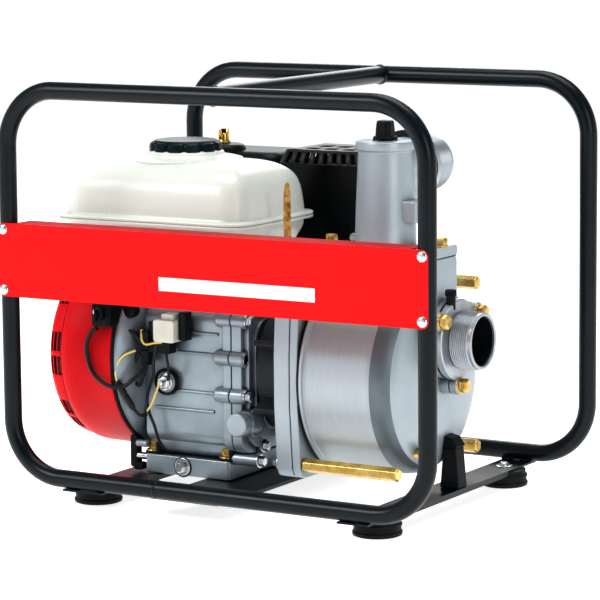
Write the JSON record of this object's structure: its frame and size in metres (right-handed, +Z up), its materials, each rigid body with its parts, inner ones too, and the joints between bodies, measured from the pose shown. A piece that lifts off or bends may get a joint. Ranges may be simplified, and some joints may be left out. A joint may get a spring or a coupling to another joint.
{
  "type": "portable fire pump",
  "caption": "Petrol-engined self-priming water pump in a bent tube carrying frame with rubber feet, for supplying a hose where there is no mains.",
  "frame": {"origin": "on the ground under the middle of the whole part's box", "axes": "+Z up; +X along the shaft from the recoil starter to the suction port; -Y towards the red panel"},
  "size_m": [0.5202, 0.3871, 0.4513],
  "materials": {
    "frame_black": "glossy black powder coat",
    "panel_red": "glossy red paint",
    "shroud_red": "satin red paint",
    "knob_black": "moulded, black",
    "rubber_black": "matt moulded rubber",
    "steel": "bright zinc plated",
    "cast": "die cast, sprayed blue-grey",
    "pump_cast": "die cast, drum turned bright",
    "plastic_black": "grained black moulding",
    "plastic_cream": "cream moulding",
    "tank_white": "milky white blow moulding",
    "yellow_zinc": "yellow passivated zinc",
    "brass": "turned",
    "hot_black": "matt heat-resistant black",
    "iron": "as cast and machined"
  },
  "bodies": {
    "frame": {"near_hoop": "frame_black", "far_hoop": "frame_black", "top_cross_tube": "frame_black", "member_left": "frame_black", "member_middle": "frame_black", "member_right": "frame_black", "foot_near_left": "rubber_black", "foot_far_left": "rubber_black", "panel_screw_low_left": "steel", "panel_screw_top_left": "steel", "foot_near_right": "rubber_black", "foot_far_right": "rubber_black", "panel_screw_low_right": "steel", "panel_screw_top_right": "steel", "front_panel": "panel_red", "rubber_mount": "rubber_black", "crankcase": "cast", "crankcase_cover": "cast", "cylinder_head": "cast", "fan_cover": "shroud_red", "recoil_cover": "shroud_red", "switch_box": "plastic_black", "oil_alert_unit": "plastic_cream", "tank_upper": "tank_white", "tank_lower": "tank_white", "air_cleaner_base": "plastic_black", "carburettor": "cast", "muffler": "hot_black", "heat_shield": "hot_black", "switch_cable": "rubber_black", "sensor_wire": "rubber_black", "pump_bracket": "pump_cast", "pump_back_plate": "pump_cast", "pump_casing": "pump_cast", "volute": "iron", "shaft_seal": "rubber_black", "discharge_port": "pump_cast", "suction_port": "pump_cast", "tie_rod_low_near": "yellow_zinc", "tie_rod_high_near": "yellow_zinc", "tie_rod_low_far": "yellow_zinc", "tie_rod_high_far": "yellow_zinc"},
    "rotor": {"crankshaft": "steel", "flywheel": "iron", "impeller": "iron"},
    "piston": {"piston": "cast"},
    "reel": {"starter_reel": "plastic_black"},
    "grip": {"starter_grip": "rubber_black"},
    "fuel_cap": {"fuel_cap": "plastic_black"},
    "priming_plug": {"priming_plug": "plastic_black"},
    "drain_plug": {"drain_plug": "yellow_zinc"},
    "oil_filler_cap": {"oil_filler_cap": "cast"},
    "switch_knob": {"switch_knob": "knob_black"},
    "throttle": {"throttle_lever": "steel"},
    "choke": {"choke_lever": "plastic_black"},
    "fuel_valve": {"fuel_valve_lever": "plastic_black"},
    "governor": {"governor_arm": "yellow_zinc"},
    "cleaner_cover": {"air_cleaner_cover": "plastic_black"},
    "cleaner_nut": {"air_cleaner_nut": "brass"},
    "check_flap": {"check_flap": "rubber_black"}
  },
  "joints": [
    {"name": "rotor_spin", "type": "hinge", "parent": "frame", "child": "rotor", "pos_m": [0, 0, 0.1395], "axis": [1, 0, 0], "continuous": true},
    {"name": "piston_stroke", "type": "slide", "parent": "frame", "child": "piston", "axis": [0, 0.9063, 0.4226], "range_m": [-0.04, 0]},
    {"name": "grip_pull", "type": "slide", "parent": "frame", "child": "grip", "axis": [-1, 0, 0], "range_m": [0, 0.5]},
    {"name": "reel_turn", "type": "hinge", "parent": "frame", "child": "reel", "pos_m": [-0.248, 0, 0.1395], "axis": [1, 0, 0], "range_deg": [0, 525]},
    {"name": "fuel_cap_lift", "type": "slide", "parent": "frame", "child": "fuel_cap", "axis": [0, 0, 1], "range_m": [0, 0.05]},
    {"name": "priming_plug_lift", "type": "slide", "parent": "frame", "child": "priming_plug", "axis": [0, 0, 1], "range_m": [0, 0.045]},
    {"name": "drain_plug_out", "type": "slide", "parent": "frame", "child": "drain_plug", "axis": [1, 0, 0], "range_m": [0, 0.04]},
    {"name": "oil_filler_cap_out", "type": "slide", "parent": "frame", "child": "oil_filler_cap", "axis": [0, -1, 0], "range_m": [0, 0.078]},
    {"name": "switch_turn", "type": "hinge", "parent": "frame", "child": "switch_knob", "pos_m": [-0.18, -0.12, 0.198], "axis": [0, 1, 0], "range_deg": [0, 90]},
    {"name": "throttle_turn", "type": "hinge", "parent": "frame", "child": "throttle", "pos_m": [-0.17, 0.1, 0.242], "axis": [0, 1, 0], "range_deg": [-20, 15]},
    {"name": "choke_turn", "type": "hinge", "parent": "frame", "child": "choke", "pos_m": [-0.17, 0.1, 0.226], "axis": [0, 1, 0], "range_deg": [-25, 5]},
    {"name": "fuel_valve_turn", "type": "hinge", "parent": "frame", "child": "fuel_valve", "pos_m": [-0.17, 0.1, 0.21], "axis": [0, 1, 0], "range_deg": [-60, 0]},
    {"name": "governor_swing", "type": "hinge", "parent": "frame", "child": "governor", "pos_m": [0.007, -0.0415, 0.211], "axis": [1, 0, 0], "range_deg": [-8, 8]},
    {"name": "cleaner_cover_lift", "type": "slide", "parent": "frame", "child": "cleaner_cover", "axis": [0, 0, 1], "range_m": [0, 0.11]},
    {"name": "cleaner_nut_spin", "type": "hinge", "parent": "cleaner_cover", "child": "cleaner_nut", "pos_m": [-0.158, 0.098, 0.372], "axis": [0, 0, 1], "continuous": true},
    {"name": "check_flap_open", "type": "hinge", "parent": "frame", "child": "check_flap", "pos_m": [0.174, 0, 0.202], "axis": [0, 1, 0], "range_deg": [0, 50]}
  ],
  "couplings": [
    {"joint": "reel_turn", "follows": "grip_pull", "rad_per_m": 18.18}
  ]
}
